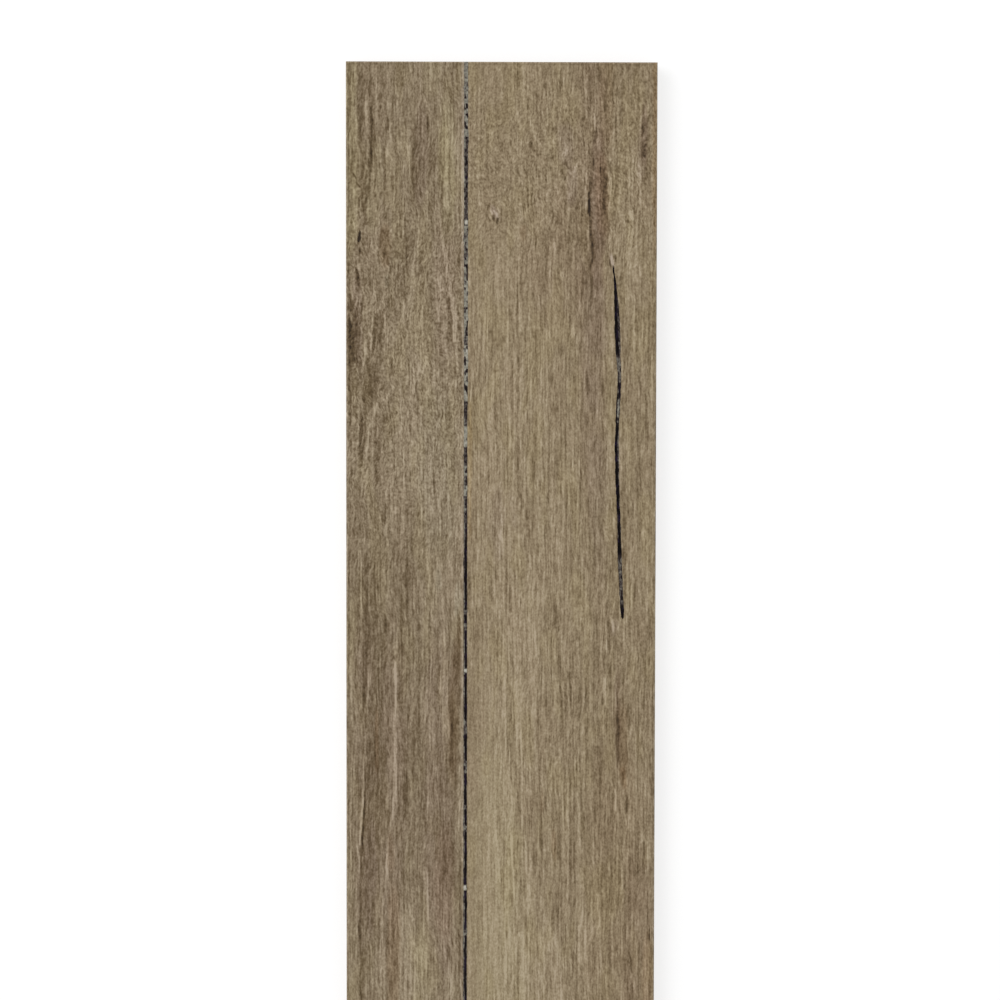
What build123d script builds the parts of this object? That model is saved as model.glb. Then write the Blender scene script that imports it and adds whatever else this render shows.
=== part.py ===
from build123d import *
import os

# A multilayer parquet floorboard, lying face up on its underside.
# Two oak strips of unequal width are glued side by side on a birch plywood base. The open joint
# between them and one long crack in the wide strip are filled with black putty.
# Origin: the middle of the underside. X runs across the board, Y along it, Z up to the face.
# The head end, at +Y, is the end that the crack lies near.

# Driving dimensions, in millimetres
board_width = 190
board_length = 1900
face_thickness = 4
base_thickness = 11

narrow_strip_width = 72
seam_width = 1.8
micro_bevel = 0.9  # 45 degree bevel along the board's four face edges
filler_drop = 0.25  # the putty has shrunk to this far below the face

lower_lip_height = 3  # plywood left under the tongue groove
groove_height = 5
groove_depth = 6
lip_setback = 0.5  # the lower lip stands back, so that the face edges of two boards meet first
groove_lead_in = 0.4  # small chamfer that guides the loose tongue into the groove

crack_depth = 3
# The crack is a chain of stations from its head tip to its foot tip. Each gives the distance from
# the head end, the distance in from the board's right edge, and the width of the opening there.
crack_head_tip = (123.4, 26.8)
crack_stations = [
    (131.6, 25.7, 1.3),
    (148.0, 24.6, 2.8),
    (164.4, 24.0, 3.6),
    (178.1, 23.5, 2.8),
    (189.0, 22.5, 1.5),
    (201.0, 22.4, 1.7),
    (220.0, 23.7, 2.1),
    (233.8, 24.2, 3.0),
    (248.8, 24.0, 2.7),
    (269.4, 23.2, 2.3),
    (289.8, 22.5, 2.1),
    (304.9, 22.1, 2.4),
    (319.8, 21.3, 1.8),
    (334.0, 20.6, 1.6),
]
crack_foot_tip = (340.5, 20.2)

# Places worked out from the driving dimensions
half_width = board_width / 2
half_length = board_length / 2
face_top = base_thickness + face_thickness
seam_left = -half_width + narrow_strip_width
seam_right = seam_left + seam_width
groove_floor = lower_lip_height
groove_ceiling = groove_floor + groove_height


def crack_point(from_head, from_right, sideways=0.0):
    """A point of the crack's outline, in the plane of the face."""
    return (half_width - from_right + sideways, half_length - from_head)


def crack_outline():
    """The crack's closed outline: down its left side and back up its right side."""
    left_side = [crack_point(y, x, -width / 2) for y, x, width in crack_stations]
    right_side = [crack_point(y, x, width / 2) for y, x, width in crack_stations]
    head = crack_point(*crack_head_tip)
    foot = crack_point(*crack_foot_tip)
    return [head, *left_side, foot, *reversed(right_side)]


def strip_sketch(left_edge, right_edge):
    """A full-length rectangle between two places across the board."""
    with Locations(((left_edge + right_edge) / 2, 0)):
        Rectangle(right_edge - left_edge, board_length)


def end_edges(part, height):
    """The two straight edges across the board's ends at one height."""
    across = part.edges().filter_by(Axis.X).filter_by_position(Axis.Z, height, height)
    return across.group_by(Axis.Y)[0] + across.group_by(Axis.Y)[-1]


# Plywood base: one sheet, sawn to size, with a groove for a loose tongue milled in all four edges
with BuildPart() as plywood_base:
    with BuildSketch(Plane.XY):
        Rectangle(board_width, board_length)
    extrude(amount=base_thickness)
    with BuildSketch(Plane.XY.offset(groove_floor)):
        Rectangle(board_width, board_length)
        Rectangle(board_width - 2 * groove_depth, board_length - 2 * groove_depth, mode=Mode.SUBTRACT)
    extrude(amount=groove_height, mode=Mode.SUBTRACT)
    with BuildSketch(Plane.XY):
        Rectangle(board_width, board_length)
        Rectangle(board_width - 2 * lip_setback, board_length - 2 * lip_setback, mode=Mode.SUBTRACT)
    extrude(amount=lower_lip_height, mode=Mode.SUBTRACT)
    # The mouth's lower edges are the outermost ones on the groove's floor, and likewise above
    for mouth_height, mouth_inset in ((groove_floor, lip_setback), (groove_ceiling, 0)):
        level = plywood_base.edges().filter_by_position(Axis.Z, mouth_height, mouth_height)
        sides = level.filter_by_position(Axis.X, -half_width + mouth_inset, -half_width + mouth_inset)
        sides += level.filter_by_position(Axis.X, half_width - mouth_inset, half_width - mouth_inset)
        ends = level.filter_by_position(Axis.Y, -half_length + mouth_inset, -half_length + mouth_inset)
        ends += level.filter_by_position(Axis.Y, half_length - mouth_inset, half_length - mouth_inset)
        chamfer(sides + ends, length=groove_lead_in)
plywood_base.part.label = "plywood_base"

# Narrow oak strip: bevelled along its outer edge and both ends, square where it meets the seam
with BuildPart() as narrow_face_strip:
    with BuildSketch(Plane.XY.offset(base_thickness)):
        strip_sketch(-half_width, seam_left)
    extrude(amount=face_thickness)
    outer_edge = narrow_face_strip.edges().filter_by(Axis.Y).group_by(Axis.Z)[-1].sort_by(Axis.X)[0]
    chamfer(end_edges(narrow_face_strip, face_top) + [outer_edge], length=micro_bevel)
narrow_face_strip.part.label = "narrow_face_strip"

# Wide oak strip: bevelled in the same way, with the crack's pocket cut into its face
with BuildPart() as wide_face_strip:
    with BuildSketch(Plane.XY.offset(base_thickness)):
        strip_sketch(seam_right, half_width)
    extrude(amount=face_thickness)
    outer_edge = wide_face_strip.edges().filter_by(Axis.Y).group_by(Axis.Z)[-1].sort_by(Axis.X)[-1]
    chamfer(end_edges(wide_face_strip, face_top) + [outer_edge], length=micro_bevel)
    with BuildSketch(Plane.XY.offset(face_top)):
        with BuildLine():
            Polyline(*crack_outline(), close=True)
        make_face()
    extrude(amount=-crack_depth, mode=Mode.SUBTRACT)
wide_face_strip.part.label = "wide_face_strip"

# Seam filler: one rod of black putty that fills the joint between the strips, down to the base
with BuildPart() as seam_filler:
    with BuildSketch(Plane.XY.offset(base_thickness)):
        strip_sketch(seam_left, seam_right)
    extrude(amount=face_thickness - filler_drop)
    chamfer(end_edges(seam_filler, face_top - filler_drop), length=micro_bevel - filler_drop)
seam_filler.part.label = "seam_filler"

# Crack filler: the same putty, pressed into the crack's pocket
with BuildPart() as crack_filler:
    with BuildSketch(Plane.XY.offset(face_top - crack_depth)):
        with BuildLine():
            Polyline(*crack_outline(), close=True)
        make_face()
    extrude(amount=crack_depth - filler_drop)
crack_filler.part.label = "crack_filler"

os.makedirs("parts", exist_ok=True)
for piece in (plywood_base, narrow_face_strip, wide_face_strip, seam_filler, crack_filler):
    export_step(piece.part, f"parts/{piece.part.label}.step")
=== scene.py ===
import math

import bmesh
import bpy
import numpy as np
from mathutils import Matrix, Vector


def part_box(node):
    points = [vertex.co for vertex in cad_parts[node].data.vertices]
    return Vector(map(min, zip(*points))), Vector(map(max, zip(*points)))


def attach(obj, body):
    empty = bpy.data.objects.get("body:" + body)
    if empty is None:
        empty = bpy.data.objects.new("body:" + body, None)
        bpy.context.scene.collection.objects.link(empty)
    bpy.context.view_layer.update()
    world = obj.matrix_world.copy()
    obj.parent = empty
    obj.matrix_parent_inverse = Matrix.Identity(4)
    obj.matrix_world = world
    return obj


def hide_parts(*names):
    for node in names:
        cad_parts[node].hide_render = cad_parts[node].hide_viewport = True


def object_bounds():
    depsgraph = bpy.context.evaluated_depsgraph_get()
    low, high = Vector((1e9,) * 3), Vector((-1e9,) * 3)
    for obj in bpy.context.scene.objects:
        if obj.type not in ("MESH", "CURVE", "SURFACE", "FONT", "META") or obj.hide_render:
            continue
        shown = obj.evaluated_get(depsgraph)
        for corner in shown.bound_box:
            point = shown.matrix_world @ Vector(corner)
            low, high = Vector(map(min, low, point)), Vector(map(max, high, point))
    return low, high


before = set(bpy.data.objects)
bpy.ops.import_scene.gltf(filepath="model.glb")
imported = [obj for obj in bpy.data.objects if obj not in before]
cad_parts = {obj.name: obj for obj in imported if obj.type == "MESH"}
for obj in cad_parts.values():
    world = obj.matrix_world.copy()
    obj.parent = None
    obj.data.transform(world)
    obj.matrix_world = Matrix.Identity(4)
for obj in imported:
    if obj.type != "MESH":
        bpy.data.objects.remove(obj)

cad_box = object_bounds()

# Sizes are in millimetres. A place on the face is given as a joiner reads it: x in from the board's
# left long edge and y down from its head end. Heights are above the underside.

# Narrow face strip
# A lamella of oak, 4 mm thick, glued along the left side of the plywood. The face is brushed, fumed
# to a grey brown and oiled matt, with a small planed bevel on its outer edge and both ends.

MM = 0.001
board_left = cad_box[0].x / MM
board_head = cad_box[1].y / MM
board_width = (cad_box[1].x - cad_box[0].x) / MM
board_length = (cad_box[1].y - cad_box[0].y) / MM
face_height = cad_box[1].z / MM
glue_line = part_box("narrow_face_strip")[0].z / MM
seam_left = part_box("narrow_face_strip")[1].x / MM - board_left
bevel = 0.9  # taken off the face along the board's outer edges, at 45 degrees
bevel_softness = 0.15  # how far the brushing has rounded the bevel's inner arris
detailed_length = 600  # the stretch from the head end that is meshed most finely


def stops(*stretches):
    """Places along a line, from stretches of (start, end, step) that follow each other."""
    places = [np.arange(start, end - step / 2, step) for start, end, step in stretches]
    return np.concatenate([*places, [stretches[-1][1]]])


def smooth(share):
    """Eases from 0 to 1 as the share goes from 0 to 1."""
    share = np.clip(share, 0, 1)
    return share * share * (3 - 2 * share)


def hills(x, y, across, along, seed):
    """Smooth random heights from -1 to 1, each hill about as wide as across and as long as along."""
    dice = np.random.default_rng(seed)
    table = dice.uniform(-1, 1, (int(board_length / along) + 4, int(board_width / across) + 4))
    u, v = x / across + 1, y / along + 1
    row, column = np.floor(v).astype(int), np.floor(u).astype(int)
    s, t = smooth(u - column), smooth(v - row)
    upper = table[row, column] * (1 - s) + table[row, column + 1] * s
    lower = table[row + 1, column] * (1 - s) + table[row + 1, column + 1] * s
    return upper * (1 - t) + lower * t


def wobble(y, along, seed):
    """Smooth random numbers from -1 to 1 that change only along the board."""
    return hills(y * 0, y, 50, along, seed)


def ragged(x, y, seed):
    """Places across the board with a small random shift, which gives what is painted ragged sides."""
    return x + hills(x, y, 2.5, 7, seed) * 0.7


def streaks(x, y, marks):
    """Adds up listed marks. Each is a strength, a half width and the points of its way down.
    A strength below 0 darkens. A mark is lens shaped, and fades out at its sides and both ends."""
    flat_middle = 1.6
    fading_ends = 5  # one part in five at each end
    total = np.zeros_like(x)
    for strength, half_width, *way in marks:
        way_x, way_y = np.transpose(way)
        share = (y - way_y[0]) / (way_y[-1] - way_y[0])
        width = half_width * np.sqrt(np.clip(4 * share * (1 - share), 0.0001, 1))
        reach = 1 - np.abs(x - np.interp(y, way_y, way_x)) / width
        fade = smooth(share * fading_ends) * smooth(fading_ends - share * fading_ends)
        total += np.where((share > 0) & (share < 1), strength * smooth(reach * flat_middle) * fade, 0)
    return total


def stained(x, y, stains):
    """The colour that filters the wood at each point. Each stain is its colour and its marks."""
    filtered = np.ones((*x.shape, 3))
    for colour, marks in stains:
        share = np.clip(streaks(x, y, marks), 0, 1)[..., None]
        filtered *= 1 - share * (1 - np.array(colour))
    return filtered


def more_streaks(count, left, right, strongest, widest, seed):
    """Marks like those at the head end, scattered over the rest of the board's length. Dark ones are
    up to the strongest, and pale ones less."""
    dice = np.random.default_rng(seed)
    marks = []
    for _ in range(count):
        x, y = dice.uniform(left, right), dice.uniform(detailed_length - 20, board_length)
        length, lean = dice.uniform(15, 90), dice.normal(0, 0.02)
        strength = dice.uniform(-strongest, strongest * 0.7)
        marks.append((strength, dice.uniform(0.7, widest), (x, y), (x + lean * length, y + length)))
    return marks


def rings(x, y, spacing, sway):
    """The growth rings' height from -1 to 1, where sway is how far they wander sideways. The waves that
    bend them have uneven lengths, so that no stretch of the board repeats another."""
    wander = sway * (np.sin(y / 131 + 0.6) + 0.4 * np.sin(y / 57 + 2.1))
    count = (x + wander + 1.6 * np.sin(x / 17 + 1) + 0.6 * np.sin(x / 6.1)) / spacing
    return np.sin(count * math.tau)


def bevel_drop(from_edge, y):
    """How far the face lies under its full height near the outer long edge and the two ends."""
    depth = bevel - np.minimum(from_edge, np.minimum(y, board_length - y))
    return (depth + np.sqrt(depth**2 + bevel_softness**2)) / 2


def slab(name, x, y, z, underside, **painted):
    """A closed solid under a grid of face points, with upright sides down to a flat underside.
    Whatever is painted on the face runs on down the sides."""
    rows, columns = x.shape
    face = np.stack([board_left + x, board_head - y, z], -1).reshape(-1, 3)
    number = np.arange(rows * columns).reshape(rows, columns)
    # Once round the face's outline, and straight below it once round the underside's
    rim = np.concatenate([number[0], number[1:, -1], number[-1, -2::-1], number[-2:0:-1, 0]])
    foot = face[rim] * (1, 1, 0) + (0, 0, underside)
    low = dict(zip(rim.tolist(), range(len(face), len(face) + len(rim))))
    quads = np.stack([number[:-1, :-1], number[1:, :-1], number[1:, 1:], number[:-1, 1:]], -1)
    faces = quads.reshape(-1, 4).tolist()
    for here, after in zip(rim.tolist(), np.roll(rim, -1).tolist()):
        faces.append((here, after, low[after], low[here]))
    # The underside is a ladder of wide quads, closed by one polygon with many corners at each end
    left, right = number[:, 0].tolist(), number[:, -1].tolist()
    for i in range(1, rows - 2):
        faces.append((low[left[i]], low[right[i]], low[right[i + 1]], low[left[i + 1]]))
    for outer, inner in ((0, 1), (rows - 1, rows - 2)):
        outline = [low[corner] for corner in number[outer].tolist()]
        faces.append(outline + [low[right[inner]], low[left[inner]]])
    mesh = bpy.data.meshes.new(name)
    mesh.from_pydata((np.concatenate([face, foot]) * MM).tolist(), [], faces)
    for label, values in painted.items():
        flat = values.reshape(rows * columns, -1)
        flat = np.concatenate([flat, flat[rim]])
        if flat.shape[1] == 1:
            mesh.attributes.new(label, "FLOAT", "POINT").data.foreach_set("value", flat.ravel())
        else:
            mesh.attributes.new(label, "FLOAT_VECTOR", "POINT").data.foreach_set("vector", flat.ravel())
    tidy = bmesh.new()
    tidy.from_mesh(mesh)
    bmesh.ops.recalc_face_normals(tidy, faces=tidy.faces)
    tidy.to_mesh(mesh)
    tidy.free()
    mesh.shade_smooth()
    mesh.set_sharp_from_angle(angle=math.radians(35))
    piece = bpy.data.objects.new(name, mesh)
    bpy.context.scene.collection.objects.link(piece)
    return piece


class Flow:
    """One output of a material's node. A sum written on it adds the nodes that work it out."""

    def __init__(self, socket):
        self.socket = socket

    def node(self, kind, settings, inputs, output=0):
        """Adds a node. Its settings are set first, and then the values or links of its sockets."""
        tree = self.socket.id_data
        made = tree.nodes.new(kind)
        for name, value in settings.items():
            if name == "stops":
                ramp = made.color_ramp.elements
                while len(ramp) < len(value):
                    ramp.new(1)
                for element, (place, colour) in zip(ramp, value):
                    element.position, element.color = place, (*colour, 1)
            else:
                setattr(made, name, value)
        for place, value in inputs.items():
            if isinstance(value, Flow):
                tree.links.new(value.socket, made.inputs[place])
            else:
                made.inputs[place].default_value = value
        return Flow(made.outputs[output])

    def math(self, operation, *others):
        return self.node("ShaderNodeMath", {"operation": operation}, dict(enumerate((self, *others))))

    def __add__(self, other):
        return self.math("ADD", other)

    __radd__ = __add__

    def __sub__(self, other):
        return self.math("SUBTRACT", other)

    def __rsub__(self, other):
        return self.node("ShaderNodeMath", {"operation": "SUBTRACT"}, {0: other, 1: self})

    def __mul__(self, other):
        return self.math("MULTIPLY", other)

    __rmul__ = __mul__

    def __truediv__(self, other):
        return self.math("DIVIDE", other)

    def rise(self, low, high):
        """0 up to low, 1 from high on, and a smooth rise between. With low above high it falls."""
        limits = {"Value": self, "From Min": low, "From Max": high}
        return self.node("ShaderNodeMapRange", {"interpolation_type": "SMOOTHSTEP"}, limits)

    def ramp(self, tones):
        """The colour that a row of (place, colour) stops gives for this value."""
        return self.node("ShaderNodeValToRGB", {"stops": tones}, {0: self})

    def mixed(self, colour, share):
        """This colour, with a share of another laid over it."""
        return self.node("ShaderNodeMix", {"data_type": "RGBA"}, {0: share, 6: self, 7: colour}, output=2)

    def tinted(self, colour, share):
        """This colour, filtered by another as far as share says."""
        settings = {"data_type": "RGBA", "blend_type": "MULTIPLY"}
        return self.node("ShaderNodeMix", settings, {0: share, 6: self, 7: colour}, output=2)


def new_material(name):
    """A material's shader, and the place on the board, in millimetres, that it works from."""
    material = bpy.data.materials.new(name)
    material.use_nodes = True
    nodes = material.node_tree.nodes
    spot = Flow(nodes.new("ShaderNodeTexCoord").outputs["Object"])
    apart = [spot.node("ShaderNodeSeparateXYZ", {}, {0: spot}, output=axis) for axis in range(3)]
    place = (apart[0] / MM - board_left, board_head - apart[1] / MM, apart[2] / MM)
    return material, nodes["Principled BSDF"], place


def finish_shader(shader, colour, roughness, height, relief):
    """Feeds the sockets that vary over the surface. Relief is the bump's depth in millimetres."""
    links = shader.id_data.links
    bump = height.node("ShaderNodeBump", {}, {"Height": height, "Strength": 1, "Distance": relief * MM})
    links.new(colour.socket, shader.inputs["Base Color"])
    links.new(roughness.socket, shader.inputs["Roughness"])
    links.new(bump.socket, shader.inputs["Normal"])


def noise(place, across, along, seed, detail=2.0):
    """Noise around 0 in solid wood: along the board it is stretched, across and through it alike."""
    x, y, z = place
    stretched = {"X": x / across + seed, "Y": y / along, "Z": z / across}
    spot = x.node("ShaderNodeCombineXYZ", {}, stretched)
    return spot.node("ShaderNodeTexNoise", {}, {"Vector": spot, "Scale": 1, "Detail": detail}) - 0.5


def facing(place, axis):
    """How squarely the surface faces along one of the board's axes, from 0 to 1."""
    normal = place.node("ShaderNodeNewGeometry", {}, {}, output=1)
    return place.node("ShaderNodeSeparateXYZ", {}, {0: normal}, output=axis).math("ABSOLUTE")


def oak(name, tones, swirl, unsettled, settled):
    """Fumed oak: flecks, curls, fibres, pores and bands, with the painted marks among them.
    The grain turns curly over the unsettled stretch, and over the settled one it straightens."""
    material, shader, (x, y, z) = new_material(name)
    # What the mesh is painted with: darker and paler marks, filters, and how lively the lines are
    marks = x.node("ShaderNodeAttribute", {"attribute_name": "tone"}, {}, output=2)
    stain = x.node("ShaderNodeAttribute", {"attribute_name": "stain"}, {}, output=1)
    lively = x.node("ShaderNodeAttribute", {"attribute_name": "lively"}, {}, output=2)
    # Where the grain is curly, it swings from side to side
    curly = (y.rise(*unsettled) * 0.65 + 0.35) * (1.0 - y.rise(*settled))
    bend = noise((x, y, z), 7, 11, 3.7, detail=1) * (swirl * curly)
    lean = noise((x, y, z), 30, 40, 6.4, detail=0) * (swirl * 2.5)
    place = (x + bend + lean, y, z)
    # The grain's parts, from the finest to the widest, then the growth rings and what lies in them
    grit = noise(place, 0.8, 1.3, 3.1, detail=0)
    speck = noise(place, 1.4, 2.2, 0.4, detail=1)
    fleck = noise(place, 1.2, 6, 5.1, detail=1)
    fibre = noise((x, y, z), 1.3, 40, 9.8)
    band = noise((x, y, z), 5, 130, 2.6)
    wander = noise((x, y, z), 9, 120, 13.9, detail=1) * 9 + noise(place, 3, 16, 15.2, detail=0) * 3
    ring_spacing = 3.0
    ring = ((x + bend + wander) * (math.tau / ring_spacing)).math("SINE")
    pore = noise(place, 0.9, 6.5, 4.2, detail=1).rise(0.16, 0.28)
    # The glints are pale flecks, partly the oak's rays and partly painted highlights on the brushed ridges
    glint = noise(place, 1.1, 5, 8.5, detail=1).rise(0.08, 0.22)
    curl = noise(place, 2.6, 6, 12.3, detail=0).math("ABSOLUTE").rise(0.06, 0.01) - 0.3
    dots = grit * (curly * 0.15 + 0.5) + speck * (curly * 0.5 + 0.45)
    lines = fleck * (0.85 - curly * 0.1) + fibre * (0.95 - curly * 0.35)
    lines += ring * (noise(place, 2.4, 11, 17.6, detail=0) * 0.5 + 0.07)
    grain = dots + lines * lively + curl * (curly * 0.10)
    tone = grain * 0.95 - pore * 0.06 + glint * 0.14 + band * 0.2 + marks * (fibre * 4 + 1.8)
    colour = ((tone + 1.0) / 1.5).ramp(tones)
    # Slow drifts of hue, towards yellow and towards pink
    hue = noise((x, y, z), 14, 48, 11.2)
    colour = colour.tinted((1.0, 1.0, 0.95, 1), hue.rise(-0.02, 0.14))
    colour = colour.tinted((1.0, 0.99, 0.995, 1), hue.rise(0.02, -0.14))
    colour = colour.tinted(stain, 1)
    # A band of painted shade where the bevel begins, and a painted highlight, pale and a little blue, on the
    # bevel itself
    edge = x.math("MINIMUM", board_width - x).math("MINIMUM", y).math("MINIMUM", board_length - y)
    colour = colour.tinted((0.86, 0.85, 0.83, 1), edge.rise(2.3, 1.5))
    colour = colour.tinted((1.40, 1.44, 1.58, 1), edge.rise(1.1, 0.7))
    # The sawn ends show dark end grain
    colour = colour.tinted((0.66, 0.55, 0.49, 1), facing(x, 1).rise(0.75, 0.95))
    shader.inputs["Specular IOR Level"].default_value = 0.12
    height = speck * 0.5 + fleck * 0.8 - pore * 0.25
    finish_shader(shader, colour, 0.74 - fleck * 0.4, height, relief=0.12)
    return material


def brushed_face(from_edge, x, y, tone, spacing, sway, seed):
    """The face's height. It is bevelled at its outer edges, and brushing has worn the soft wood down
    along each ring, between the fibres and in the dark marks, everywhere by at least a little."""
    soft = (1 - rings(x, y, spacing, sway)) * 0.03
    fibres = (1 + hills(x, y, 1.6, 18, seed)) * 0.035 + (1 + hills(x, y, 5, 60, seed + 1)) * 0.02
    worn = soft + fibres - np.clip(tone, -0.3, 0.2) * 0.25
    least = 0.01
    return face_height - np.maximum(bevel_drop(from_edge, y), np.maximum(worn, least))


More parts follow.
